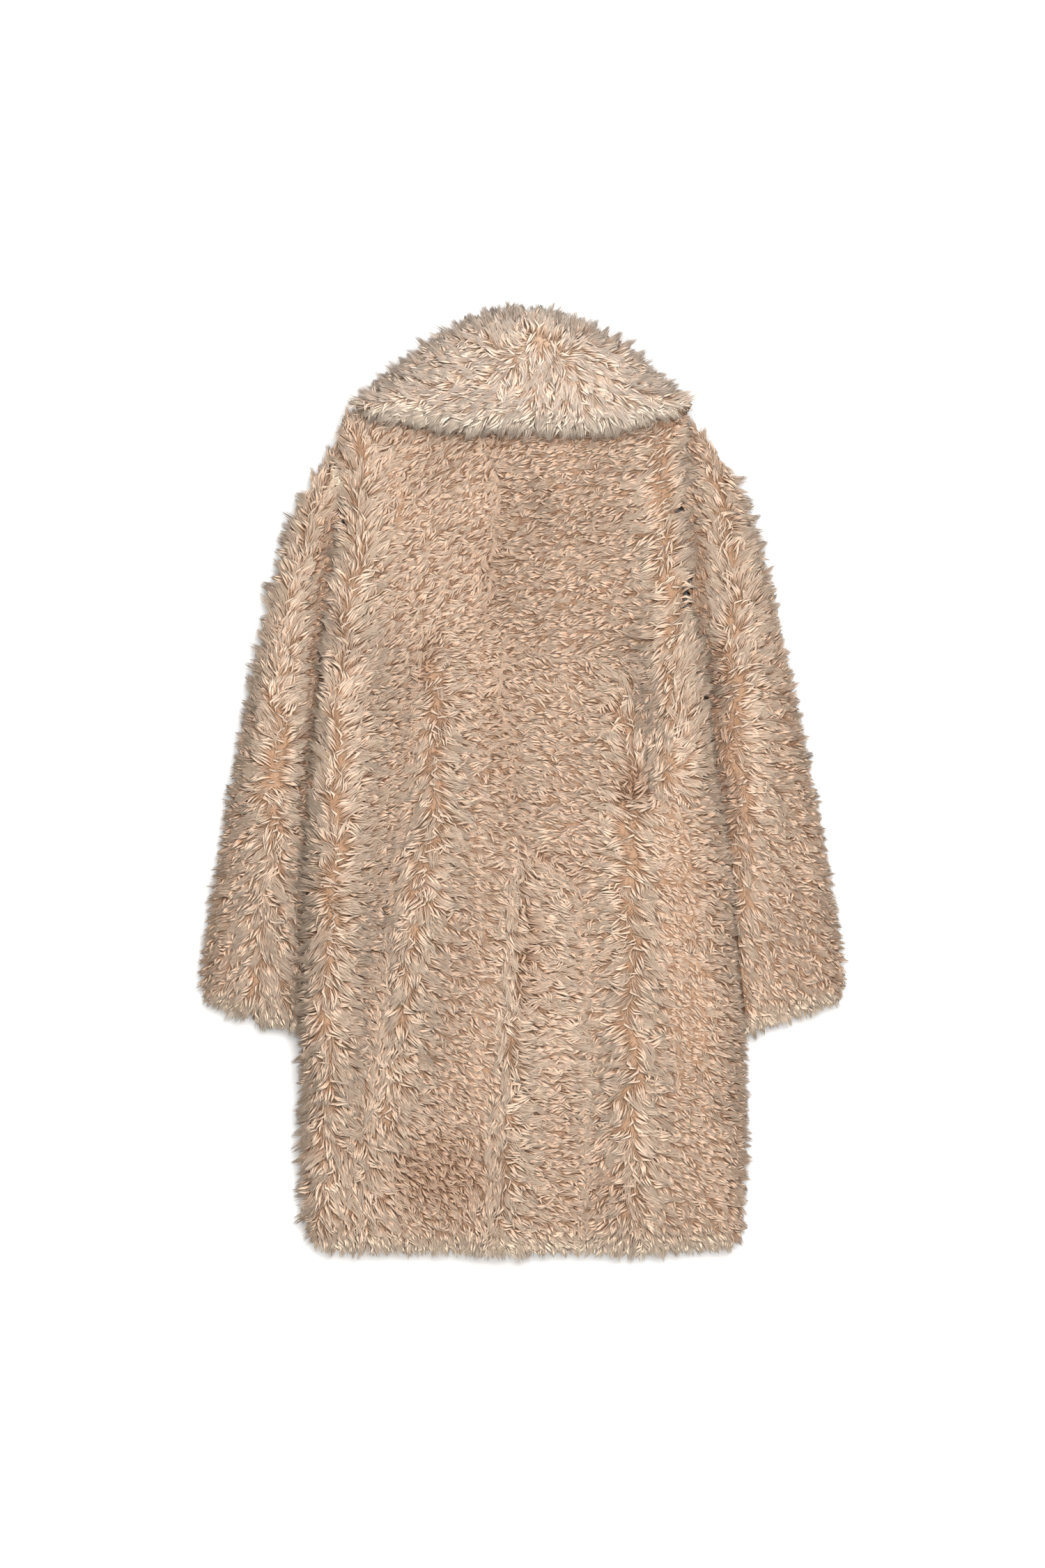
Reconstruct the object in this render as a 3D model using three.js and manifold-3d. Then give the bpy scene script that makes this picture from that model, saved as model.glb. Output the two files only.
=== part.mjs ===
// A faux fur coat laid face down on a flat surface, seen from above at its back. Millimetres.
// X runs to the right, Y from the hem up to the collar and Z up from the surface. The origin lies on
// the surface under the middle of the coat. Every piece is a wall of fur cloth, backing and pile
// together, and the pieces lie on each other in the order in which they are stacked:
// collar fronts, sleeves, fronts, backs, collar.

import * as THREE from 'three';
import { mergeVertices } from 'three/addons/utils/BufferGeometryUtils.js';
import Module from 'manifold-3d';

const wasm = await Module();
wasm.setup();

const { clamp, lerp, smoothstep } = THREE.MathUtils;

// Driving sizes
const seamGap = 0.3;
const layerRoom = 0.5; // added between back and fronts away from their seams
const frontWall = 16; // pressed by the coat's weight
const lapWall = 10; // each front where the two lap, pressed together
const backWall = 22;
const thinEdge = 1.2; // the wall that is left where a panel's edge rounds off
const middleY = 4.5; // the coat's middle, from where the tables measure Y
const hemLine = -495;
const hemBow = 4; // the hem's middle hangs this much lower than its ends
const hemCorners = { left: 40, right: 28 };
const backSeamX = 13; // the centre back seam
const lapEdge = 62; // the lapped front edges reach this far past the middle
const lapFull = 40; // and lie at their full wall up to here
const lapStart = 58; // where an edge is cut off
const neckHalf = 75;
const neckPoint = 440; // the shoulder seams' height at the neck
const neckDip = 14; // the back neck's middle lies this much lower
const shoulderSlope = 0.5;
const underarmY = 181; // the armholes' lowest place
const freeTop = 172; // the sides hang free of the sleeves below here
const shoulderEnd = 200; // the shoulder line is followed this far out

// The sleeves, and how they raise the body that lies on them
const sleeveHeight = 37; // both layers of cloth, one on the other
const sleeveSeamZ = 15;
const sleeveGroove = { depth: 9, width: 38 }; // pressed down beside the body
const capSeamRise = 2; // the cap seam's outline begins this much above the cap's first row
const slit = { height: 1, z: 15, tuckedZ: 9, outerWall: 15, bendOutside: 12, bendInside: 10 };
const cuff = { x: 234.8, y: -265, slope: 0.33, corner: 18 }; // where it meets the body's side
const tuck = { depth: 75, seamAllowance: 6, from: 160, full: 105 };
const sleeveLift = { height: 19, flat: 45, end: 85, top: 180, full: 125, foot: 95 };

// The collar
const collarLift = { height: 12, width: 35 }; // its front ends raise the body's top
const collarSeamZ = 35; // where its upper and lower layers meet along the roll
const collarHeight = { middle: 88, endsLower: 12, lip: 8 };
const frontInset = 12; // its front ends begin where the body has risen this far in

// Radii of the rounded edges
const edgeRadius = 26;
const underRadius = 13;
const topRadius = 22;
const rollRadius = 46;
const lipRadius = 18;
const armholeDrop = 0.4; // share of the back's wall that is pressed down at the armholes

// How many parts each stretch of an outline is followed in, when an edge is rounded off along it
const outlineParts = {
  side: 48,
  corner: 14,
  hem: 20,
  shoulders: 50,
  armhole: 12,
  sleeve: 50,
  cuff: 40,
  collar: 60,
};

// Heights well above and well below the coat, for what is cut off whole
const clearOfCoat = { above: 200, below: 50 };

// The body panels' side edges, from the shoulders down
const bodyEdges = [
  { y: 400, left: -188, right: 187 },
  { y: 330, left: -188, right: 169 },
  { y: 277, left: -196, right: 171 },
  { y: 220, left: -202, right: 180 },
  { y: 181, left: -208, right: 177 },
  { y: 157, left: -212, right: 190 },
  { y: 100, left: -215, right: 196 },
  { y: 40, left: -219, right: 202 },
  { y: -33, left: -226, right: 213 },
  { y: -105, left: -230, right: 224 },
  { y: -175, left: -233, right: 227 },
  { y: -253, left: -235, right: 236 },
  { y: -350, left: -236, right: 239 },
  { y: -495, left: -235, right: 237 },
];

// The sleeves' outer edges, from the shoulders down to the cuffs
const sleeveEdges = [
  { y: 390, left: -186, right: 186 },
  { y: 357, left: -209, right: 210 },
  { y: 327, left: -226, right: 227 },
  { y: 298, left: -238, right: 239 },
  { y: 254, left: -255, right: 253 },
  { y: 180, left: -273, right: 272 },
  { y: 92, left: -292, right: 292 },
  { y: 4, left: -310, right: 309 },
  { y: -84, left: -326, right: 327 },
  { y: -150, left: -338, right: 337 },
  { y: -202, left: -344.4, right: 344.4 },
  { y: -260, left: -345, right: 345 },
];

// The collar's outline: its lower edge over the back, the lower edge of its front ends underneath,
// and the rounded top where it rolls over
const collarEdges = [
  { x: -187, lower: 391, front: 372, top: 394 },
  { x: -166, lower: 389, front: 322, top: 416 },
  { x: -132, lower: 381, front: 276, top: 445 },
  { x: -92, lower: 374, front: 250, top: 474.5 },
  { x: -60, lower: 370, front: 252, top: 491 },
  { x: -30, lower: 371, front: 272, top: 503 },
  { x: 0, lower: 372, front: 300, top: 504 },
  { x: 30, lower: 371, front: 272, top: 502.5 },
  { x: 62, lower: 369, front: 252, top: 490 },
  { x: 97, lower: 373, front: 250, top: 474.5 },
  { x: 134, lower: 382, front: 276, top: 445 },
  { x: 166, lower: 389, front: 334, top: 416 },
  { x: 188, lower: 391, front: 388, top: 393 },
];

// Soft folds over the back: the crest's place x and height at each y, and how far it reaches
const backFolds = [
  [
    { y: 340, x: -172, height: 0, reach: 34 },
    { y: 260, x: -175, height: 9, reach: 36 },
    { y: 140, x: -188, height: 8, reach: 40 },
    { y: 0, x: -196, height: 8, reach: 40 },
    { y: -150, x: -199, height: 10, reach: 40 },
    { y: -320, x: -206, height: 11, reach: 42 },
    { y: -430, x: -206, height: 5, reach: 40 },
    { y: -480, x: -205, height: 0, reach: 40 },
  ],
  [
    { y: 170, x: -98, height: 0, reach: 36 },
    { y: 90, x: -93, height: 6, reach: 38 },
    { y: -40, x: -94, height: 10, reach: 40 },
    { y: -190, x: -120, height: 12, reach: 42 },
    { y: -350, x: -147, height: 10, reach: 44 },
    { y: -470, x: -165, height: 0, reach: 44 },
  ],
  [
    { y: 60, x: -4, height: 0, reach: 40 },
    { y: -140, x: -6, height: 7, reach: 42 },
    { y: -290, x: -12, height: 11, reach: 42 },
    { y: -410, x: -24, height: 9, reach: 44 },
    { y: -480, x: -30, height: 0, reach: 44 },
  ],
  [
    { y: -60, x: 66, height: 0, reach: 34 },
    { y: -200, x: 60, height: 6, reach: 36 },
    { y: -330, x: 50, height: 7, reach: 38 },
    { y: -440, x: 48, height: 0, reach: 38 },
  ],
  [
    { y: -190, x: 122, height: 0, reach: 36 },
    { y: -330, x: 117, height: 9, reach: 38 },
    { y: -430, x: 114, height: 8, reach: 38 },
    { y: -480, x: 114, height: 0, reach: 38 },
  ],
  [
    { y: 340, x: 142, height: 0, reach: 34 },
    { y: 258, x: 146, height: 9, reach: 36 },
    { y: 150, x: 158, height: 9, reach: 38 },
    { y: 30, x: 174, height: 8, reach: 40 },
    { y: -110, x: 193, height: 8, reach: 40 },
    { y: -260, x: 204, height: 9, reach: 40 },
    { y: -420, x: 206, height: 5, reach: 40 },
    { y: -480, x: 206, height: 0, reach: 40 },
  ],
];

// The one long fold down each sleeve
const sleeveFolds = {
  left: [
    { y: 330, x: -214, height: 0, reach: 30 },
    { y: 230, x: -238, height: 7, reach: 34 },
    { y: 90, x: -257, height: 8, reach: 36 },
    { y: -60, x: -265, height: 8, reach: 40 },
    { y: -160, x: -276, height: 4, reach: 44 },
    { y: -230, x: -286, height: 0, reach: 44 },
  ],
  right: [
    { y: 320, x: 204, height: 0, reach: 30 },
    { y: 215, x: 217, height: 7, reach: 34 },
    { y: 90, x: 230, height: 9, reach: 36 },
    { y: -60, x: 247, height: 9, reach: 40 },
    { y: -170, x: 262, height: 4, reach: 44 },
    { y: -230, x: 272, height: 0, reach: 44 },
  ],
};

// Where the grids have their lines: close together where an edge rounds off
const sideSteps = [0, 2.5, 8, 16, 28, 45, 65, 85];
const middleColumns = [-lapEdge, -lapStart, -lapFull, -14, backSeamX, lapFull, lapStart, lapEdge];
const spareColumns = 2; // between the side steps and the middle columns
const topSteps = [0, 3, 9, 20];
const bodyRows = [
  345, 305, 262, 222, 182, 150, 122, 85, 40, -10, -60, -110, -160, -205, -240, -265, -290, -325,
  -365, -400, -422,
];
const hemSteps = [24, 13, 6, 2, 0];
const sleeveRows = [
  384, 376, 362, 344, 322, 298, 268, 235, 200, 165, 130, 90, 45, 0, -45, -90, -130, -165, -200,
  -228,
];
const cuffSteps = [20, 11, 5, 1.5, 0];
// The slit's inner edge: just past the armhole seam, clear of the underarm, then under the body
const slitRows = [
  { y: 330, depth: 12 },
  { y: 290, depth: 12 },
  { y: 240, depth: 12 },
  { y: 200, depth: 12 },
  { y: 170, depth: -6 },
  { y: 130, depth: -6 },
  { y: 100, depth: -6 },
  { y: 70, depth: 40 },
  { y: 20, depth: 40 },
  { y: -50, depth: 40 },
  { y: -120, depth: 40 },
  { y: -190, depth: 40 },
  { y: -250, depth: 40 },
  { y: -320, depth: 40 },
];
const sleeveShares = [0, 0.02, 0.06, 0.12, 0.21, 0.33, 0.46, 0.6, 0.73, 0.86, 1];
const collarShares = [0, 0.02, 0.06, 0.13, 0.22, 0.34, 0.48, 0.64, 0.8, 0.91, 0.97, 1];
const collarFrontShares = [0, 0.04, 0.1, 0.2, 0.36, 0.58, 0.8, 1];
const collarColumns = [
  -182, -174, -162, -146, -126, -104, -80, -54, -27, 0, 27, 54, 80, 104, 126, 146, 162, 174, 182,
];

// Reads a named column of a table at a place along it, smoothly between the rows
function read(table, name, at, key = 'y') {
  const rows = table[0][key] < table[1][key] ? table : [...table].reverse();
  const last = rows.length - 1;
  if (at <= rows[0][key]) return rows[0][name];
  if (at >= rows[last][key]) return rows[last][name];
  const i = rows.findIndex((row) => row[key] > at) - 1;
  const slope = (j) => {
    const before = rows[Math.max(j - 1, 0)];
    const after = rows[Math.min(j + 1, last)];
    return (after[name] - before[name]) / (after[key] - before[key]);
  };
  const step = rows[i + 1][key] - rows[i][key];
  const t = (at - rows[i][key]) / step;
  const rise = rows[i + 1][name] - rows[i][name];
  const a = slope(i) * step - rise;
  const b = rise - slope(i + 1) * step;
  return rows[i][name] + t * rise + t * (1 - t) * (a * (1 - t) + b * t);
}

// From 0 at an edge to 1 at the distance radius, along a quarter circle
function round(distance, radius) {
  const share = clamp(distance / radius, 0, 1);
  return Math.sqrt(1 - (1 - share) ** 2);
}

// How much a rounded corner takes off an edge at a distance from the corner's side
function cornerRise(inset, radius) {
  return radius - Math.sqrt(radius ** 2 - clamp(radius - inset, 0, radius) ** 2);
}

// The shortest way from a place to a line through points
function distanceTo(points, x, y) {
  let best = Infinity;
  for (let i = 1; i < points.length; i++) {
    const [ax, ay] = points[i - 1];
    const [bx, by] = points[i];
    const length = (bx - ax) ** 2 + (by - ay) ** 2;
    const t = length ? clamp(((x - ax) * (bx - ax) + (y - ay) * (by - ay)) / length, 0, 1) : 0;
    best = Math.min(best, Math.hypot(x - ax - t * (bx - ax), y - ay - t * (by - ay)));
  }
  return best;
}

function count(n) {
  return [...Array(n).keys()];
}

function steps(from, to, parts) {
  return count(parts + 1).map((i) => lerp(from, to, i / parts));
}

// The height of the folds at a place: each is a soft ridge that falls off to both sides
function foldHeight(folds, x, y) {
  let height = 0;
  for (const fold of folds) {
    if (y > fold[0].y || y < fold.at(-1).y) continue;
    const away = Math.abs(x - read(fold, 'x', y)) / read(fold, 'reach', y);
    if (away < 1) height += read(fold, 'height', y) * Math.cos((away * Math.PI) / 2) ** 2;
  }
  return height;
}

// A closed solid between two height functions over a grid of places, rows running down in Y
function slab(grid, top, bottom) {
  const rows = grid.length;
  const columns = grid[0].length;
  const positions = [];
  for (const height of [top, bottom]) {
    for (const [x, y] of grid.flat()) positions.push(x, y, height(x, y));
  }
  const index = [];
  const quad = (a, b, c, d) => index.push(a, b, c, a, c, d);
  const under = rows * columns;
  for (const r of count(rows - 1)) {
    for (const c of count(columns - 1)) {
      const a = r * columns + c;
      const b = a + columns;
      quad(a, b, b + 1, a + 1);
      index.push(under + a, under + b + 1, under + b, under + a, under + a + 1, under + b + 1);
    }
  }
  const last = rows * columns - 1;
  const rim = [
    ...count(rows - 1).map((r) => [r * columns, (r + 1) * columns]),
    ...count(columns - 1).map((c) => [last - columns + 1 + c, last - columns + 2 + c]),
    ...count(rows - 1).map((r) => [last - r * columns, last - (r + 1) * columns]),
    ...count(columns - 1).map((c) => [columns - 1 - c, columns - 2 - c]),
  ];
  for (const [a, b] of rim) quad(a, under + a, under + b, b);
  const geometry = new THREE.BufferGeometry();
  geometry.setAttribute('position', new THREE.Float32BufferAttribute(positions, 3));
  geometry.setIndex(index);
  return geometry;
}

function toSolid(geometry) {
  const merged = mergeVertices(geometry, 1e-4);
  const vertProperties = new Float32Array(merged.attributes.position.array);
  const triVerts = new Uint32Array(merged.index.array);
  return new wasm.Manifold(new wasm.Mesh({ numProp: 3, vertProperties, triVerts }));
}

function cut(geometry, ...cutters) {
  let solid = toSolid(geometry);
  for (const cutter of cutters) solid = solid.subtract(toSolid(cutter));
  const mesh = solid.getMesh();
  const left = new THREE.BufferGeometry();
  left.setAttribute('position', new THREE.BufferAttribute(mesh.vertProperties, 3));
  left.setIndex(new THREE.BufferAttribute(mesh.triVerts, 1));
  return left;
}

const coat = new THREE.Group();
coat.position.y = -middleY;

const tanFur = new THREE.MeshStandardMaterial({ color: 0xcdaf96, roughness: 1, metalness: 0 });
const creamFur = new THREE.MeshStandardMaterial({ color: 0xe6d7c8, roughness: 1, metalness: 0 });

function addPiece(name, geometry, material) {
  geometry.computeVertexNormals();
  const piece = new THREE.Mesh(geometry, material);
  piece.name = name;
  coat.add(piece);
}

// Body outline
const leftEdge = (y) => read(bodyEdges, 'left', y);
const rightEdge = (y) => read(bodyEdges, 'right', y);
const hemLeft = leftEdge(hemLine);
const hemRight = rightEdge(hemLine);

function shoulderLine(x) {
  const past = Math.abs(x) - neckHalf;
  if (past > 0) return neckPoint - shoulderSlope * past;
  return neckPoint - neckDip * (1 - (x / neckHalf) ** 2);
}

function hemAt(x) {
  const bow = hemBow * (x / hemRight) ** 2;
  const leftRise = cornerRise(x - hemLeft, hemCorners.left);
  const rightRise = cornerRise(hemRight - x, hemCorners.right);
  return hemLine + bow + leftRise + rightRise;
}

const leftCornerEnd = hemLeft + hemCorners.left;
const rightCornerEnd = hemRight - hemCorners.right;
const hemPlaces = [
  ...steps(hemLeft, leftCornerEnd, outlineParts.corner),
  ...steps(leftCornerEnd, rightCornerEnd, outlineParts.hem),
  ...steps(rightCornerEnd, hemRight, outlineParts.corner),
];
const freeOutline = [
  ...steps(freeTop, hemAt(hemLeft), outlineParts.side).map((y) => [leftEdge(y), y]),
  ...hemPlaces.map((x) => [x, hemAt(x)]),
  ...steps(hemAt(hemRight), freeTop, outlineParts.side).map((y) => [rightEdge(y), y]),
];
const topOutline = steps(-shoulderEnd, shoulderEnd, outlineParts.shoulders).map((x) => {
  return [x, shoulderLine(x)];
});
const armholes = [leftEdge, rightEdge].map((edge) => {
  return steps(bodyEdges[0].y, freeTop, outlineParts.armhole).map((y) => [edge(y), y]);
});

function cuffLine(x) {
  return cuff.y + cuff.slope * (Math.abs(x) - cuff.x);
}

// What the sleeves and the collar's front ends under the body raise it by
function lift(x, y) {
  const inset = Math.min(x - leftEdge(y), rightEdge(y) - x);
  const across = 1 - smoothstep(inset, sleeveLift.flat, sleeveLift.end);
  const above = 1 - smoothstep(y, sleeveLift.full, sleeveLift.top);
  const below = smoothstep(y, cuffLine(x) - sleeveLift.foot, cuffLine(x));
  const front = read(collarEdges, 'front', x, 'x');
  const onCollar = collarLift.height * smoothstep(y, front, front + collarLift.width);
  return sleeveLift.height * across * above * below + onCollar;
}

// Heights of the body's layers over the surface
function frontBottom(x, y) {
  const edge = Math.min(distanceTo(freeOutline, x, y), distanceTo(topOutline, x, y));
  return lift(x, y) + (lapWall - seamGap - thinEdge) * (1 - round(edge, underRadius));
}

// How far the place lies into the lap of the fronts, from 0 outside it to 1
function lapShare(x) {
  return clamp((lapEdge - Math.abs(x)) / (lapEdge - lapFull), 0, 1);
}

// The lower side of the left front where it lies on the right one
function lapBottom(x, y) {
  const wall = x < 0 ? lapWall * lapShare(x) : lerp(frontWall, lapWall, lapShare(x));
  return lift(x, y) + wall;
}

function frontsTop(x, y) {
  return lift(x, y) + frontWall + (2 * lapWall - frontWall) * lapShare(x);
}

function backBottom(x, y) {
  const room = layerRoom * round(distanceTo(freeOutline, x, y), edgeRadius);
  return frontsTop(x, y) + seamGap + room;
}

function backTop(x, y) {
  const sewn = Math.min(...armholes.map((line) => distanceTo(line, x, y)));
  const full = backWall + foldHeight(backFolds, x, y);
  const share =
    round(distanceTo(freeOutline, x, y), edgeRadius) *
    round(distanceTo(topOutline, x, y), topRadius) *
    (1 - armholeDrop * (1 - round(sewn, underRadius)));
  return backBottom(x, y) + lerp(thinEdge, full, share);
}

// The body's grid. Its outline moves outwards by grow, to cut the neighbours clear of it.
function bodyGrid(columnsAt, grow = 0) {
  const rowPlaces = [
    ...topSteps.map((step) => (x) => shoulderLine(x) - step),
    ...bodyRows.map((y) => () => y),
    ...hemSteps.map((step) => (x) => hemAt(x) + step),
  ];
  const highest = shoulderLine(hemRight);
  const lowest = hemAt(hemLeft);
  return rowPlaces.map((rowAt, r) => {
    const columns = columnsAt(clamp(rowAt(0), lowest, highest));
    return columns.map((place, c) => {
      let [x, y] = [place, rowAt(place)];
      if (c === 0) x -= grow;
      if (c === columns.length - 1) x += grow;
      if (r === 0) y += grow;
      if (r === rowPlaces.length - 1) y -= grow;
      return [x, y];
    });
  });
}

function bodyColumns(y) {
  const left = sideSteps.map((step) => leftEdge(y) + step);
  const right = sideSteps.map((step) => rightEdge(y) - step).reverse();
  const between = (a, b) => steps(a, b, spareColumns + 1).slice(1, -1);
  const first = between(left.at(-1), middleColumns[0]);
  const second = between(middleColumns.at(-1), right[0]);
  return [...left, ...first, ...middleColumns, ...second, ...right];
}

function columnOf(place) {
  return sideSteps.length + spareColumns + middleColumns.indexOf(place);
}

// Backs, half the seam's gap on each side of it
function makeBacks() {
  const seam = columnOf(backSeamX);
  const left = (y) => [...bodyColumns(y).slice(0, seam), backSeamX - seamGap / 2];
  const right = (y) => [backSeamX + seamGap / 2, ...bodyColumns(y).slice(seam + 1)];
  addPiece('back_left', slab(bodyGrid(left), backTop, backBottom), tanFur);
  addPiece('back_right', slab(bodyGrid(right), backTop, backBottom), tanFur);
}

// Fronts: the right one lies on the surface, and the left one laps over it
function makeFronts() {
  const left = (y) => bodyColumns(y).slice(0, columnOf(lapStart) + 1);
  const right = (y) => bodyColumns(y).slice(columnOf(-lapStart));
  const leftBottom = (x, y) => {
    const lapped = x < -lapEdge ? 0 : lapBottom(x, y);
    return Math.max(frontBottom(x, y), lapped);
  };
  const rightTop = (x, y) => (x > lapStart ? frontsTop(x, y) : lapBottom(x, y) - seamGap);
  addPiece('front_left', slab(bodyGrid(left), frontsTop, leftBottom), tanFur);
  addPiece('front_right', slab(bodyGrid(right), rightTop, frontBottom), tanFur);
}

makeBacks();
makeFronts();

// The body with its gap, to cut what lies under it, beside it and on it clear of it
const highUp = () => clearOfCoat.above;
const farBelow = () => -clearOfCoat.below;
const wideGrid = bodyGrid(bodyColumns, seamGap);
const upperRows = topSteps.length + bodyRows.filter((y) => y > underarmY).length;
const bodyFromBelow = slab(wideGrid, highUp, (x, y) => frontBottom(x, y) - seamGap);
const bodyFromAbove = slab(wideGrid, (x, y) => backTop(x, y) + seamGap, farBelow);
const upperBody = slab(wideGrid.slice(0, upperRows), highUp, farBelow);

// Sleeves: flattened tubes whose inner folds lie under the body
function makeSleeve(name, side) {
  const outer = (y) => read(sleeveEdges, name, y);
  const bodyEdge = side < 0 ? leftEdge : rightEdge;
  const inner = (y) => {
    const depth = lerp(tuck.depth, tuck.seamAllowance, smoothstep(y, tuck.full, tuck.from));
    return bodyEdge(y) - side * depth;
  };
  const sorted = (row) => (side < 0 ? row : row.reverse());
  const cuffOuter = outer(cuff.y);
  const cuffAt = (x) => cuffLine(x) + cornerRise(Math.abs(cuffOuter - x), cuff.corner);
  // Rows tilt with the cuff's edge as they come near it
  const tilted = (y, x) => y + smoothstep(-y, 0, -cuff.y) * (cuffLine(x) - cuff.y);
  const rowPlaces = [
    ...sleeveRows.map((y) => (x) => tilted(y, x)),
    ...cuffSteps.map((step) => (x) => cuffAt(x) + step),
  ];
  const grid = rowPlaces.map((rowAt) => {
    const outerX = outer(rowAt(outer(rowAt(cuffOuter))));
    const innerX = inner(rowAt(inner(rowAt(cuffOuter))));
    const places = sleeveShares.map((share) => lerp(outerX, innerX, share));
    return sorted(places.map((x) => [x, rowAt(x)]));
  });

  const capTop = sleeveRows[0] + capSeamRise;
  const outline = [
    [inner(capTop), capTop],
    ...steps(capTop, cuffAt(cuffOuter), outlineParts.sleeve).map((y) => [outer(y), y]),
    ...steps(cuffOuter, inner(cuff.y), outlineParts.cuff).map((x) => [x, cuffAt(x)]),
  ];
  const top = (x, y) => {
    const beside = 1 - smoothstep(side * (x - bodyEdge(y)), 0, sleeveGroove.width);
    const full = sleeveHeight - sleeveGroove.depth * beside + foldHeight([sleeveFolds[name]], x, y);
    return lerp(sleeveSeamZ + thinEdge, full, round(distanceTo(outline, x, y), edgeRadius));
  };
  const bottom = (x, y) => {
    return (sleeveSeamZ - thinEdge) * (1 - round(distanceTo(outline, x, y), underRadius));
  };
  const cutters = [bodyFromBelow, upperBody, sleeveSlit(side, outer, bodyEdge)];
  addPiece(`sleeve_${name}`, cut(slab(grid, top, bottom), ...cutters), tanFur);
}

// The gap between a sleeve's two layers, open at the cuff and at the armhole
function sleeveSlit(side, outer, bodyEdge) {
  const middle = (x, y) => {
    const inside = smoothstep(side * (bodyEdge(y) - x), -slit.bendOutside, slit.bendInside);
    const below = 1 - smoothstep(y, sleeveLift.full, sleeveLift.top);
    return lerp(slit.z, slit.tuckedZ, inside * below);
  };
  const grid = slitRows.map(({ y, depth }) => {
    const from = outer(y) - side * slit.outerWall;
    const row = steps(from, bodyEdge(y) - side * depth, 5).map((x) => [x, y]);
    return side < 0 ? row : row.reverse();
  });
  const top = (x, y) => middle(x, y) + slit.height / 2;
  const bottom = (x, y) => middle(x, y) - slit.height / 2;
  return slab(grid, top, bottom);
}

makeSleeve('left', -1);
makeSleeve('right', 1);

// Collar: the fall over the back, and its two front ends under the fronts
const collarEnds = [collarColumns[0], collarColumns.at(-1)];
const collarLower = (x) => read(collarEdges, 'lower', x, 'x');
const collarRoll = (x) => read(collarEdges, 'top', x, 'x');
const lowerOutline = steps(...collarEnds, outlineParts.collar).map((x) => [x, collarLower(x)]);
const rollOutline = [
  [collarEnds[0], collarLower(collarEnds[0])],
  ...steps(...collarEnds, outlineParts.collar).map((x) => [x, collarRoll(x)]),
  [collarEnds[1], collarLower(collarEnds[1])],
];

// Rows from the roll down to a lower edge
function collarGrid(columns, lowEdge, shares) {
  return shares.map((share) => columns.map((x) => [x, lerp(collarRoll(x), lowEdge(x), share)]));
}

function makeCollar() {
  const top = (x, y) => {
    const height = collarHeight.middle - collarHeight.endsLower * (x / collarEnds[1]) ** 2;
    const toRoll = round(distanceTo(rollOutline, x, y), rollRadius);
    const rolled = lerp(collarSeamZ + thinEdge, height, toRoll);
    const lip = Math.min(backTop(x, y) + collarHeight.lip, rolled);
    return lerp(lip, rolled, round(distanceTo(lowerOutline, x, y), lipRadius));
  };
  const fall = slab(collarGrid(collarColumns, collarLower, collarShares), top, () => collarSeamZ);
  addPiece('collar', cut(fall, bodyFromAbove), creamFur);
}

function makeCollarFront(name, side) {
  const half = collarColumns.slice(1, -1).filter((x) => x * side > 0); // clear of the sleeve
  const middle = (side * seamGap) / 2;
  const columns = side < 0 ? [...half, middle] : [middle, ...half];
  const lowEdge = (x) => read(collarEdges, 'front', x, 'x') + frontInset;
  const thickness = collarSeamZ - seamGap;
  const bottom = (x, y) => {
    return (thickness - thinEdge) * (1 - round(distanceTo(rollOutline, x, y), underRadius));
  };
  const end = slab(collarGrid(columns, lowEdge, collarFrontShares), () => thickness, bottom);
  addPiece(name, cut(end, bodyFromBelow), creamFur);
}

makeCollar();
makeCollarFront('collar_front_left', -1);
makeCollarFront('collar_front_right', 1);

export default coat;
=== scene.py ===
# A faux fur coat laid face down, seen from its back. The cloth shells follow the CAD panels, and the
# fur on them is grown lock by lock along the partings that the coat shows.
import math

import bpy
import numpy as np
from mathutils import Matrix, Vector
from mathutils.bvhtree import BVHTree
from mathutils.kdtree import KDTree


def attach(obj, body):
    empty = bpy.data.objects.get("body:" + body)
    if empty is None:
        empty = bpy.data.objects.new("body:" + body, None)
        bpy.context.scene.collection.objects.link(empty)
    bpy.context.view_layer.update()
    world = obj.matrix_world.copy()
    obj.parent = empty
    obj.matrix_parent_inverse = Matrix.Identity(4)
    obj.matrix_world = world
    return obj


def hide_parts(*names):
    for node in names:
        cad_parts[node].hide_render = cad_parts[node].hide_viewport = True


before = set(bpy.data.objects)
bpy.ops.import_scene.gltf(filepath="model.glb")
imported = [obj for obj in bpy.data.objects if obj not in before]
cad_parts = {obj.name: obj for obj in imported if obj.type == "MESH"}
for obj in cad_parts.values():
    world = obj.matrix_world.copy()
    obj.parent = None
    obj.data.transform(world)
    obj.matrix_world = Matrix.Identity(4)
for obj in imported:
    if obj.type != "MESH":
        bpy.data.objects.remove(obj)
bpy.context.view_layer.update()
mm = 0.001

bpy.ops.object.select_all(action="DESELECT")

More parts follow.
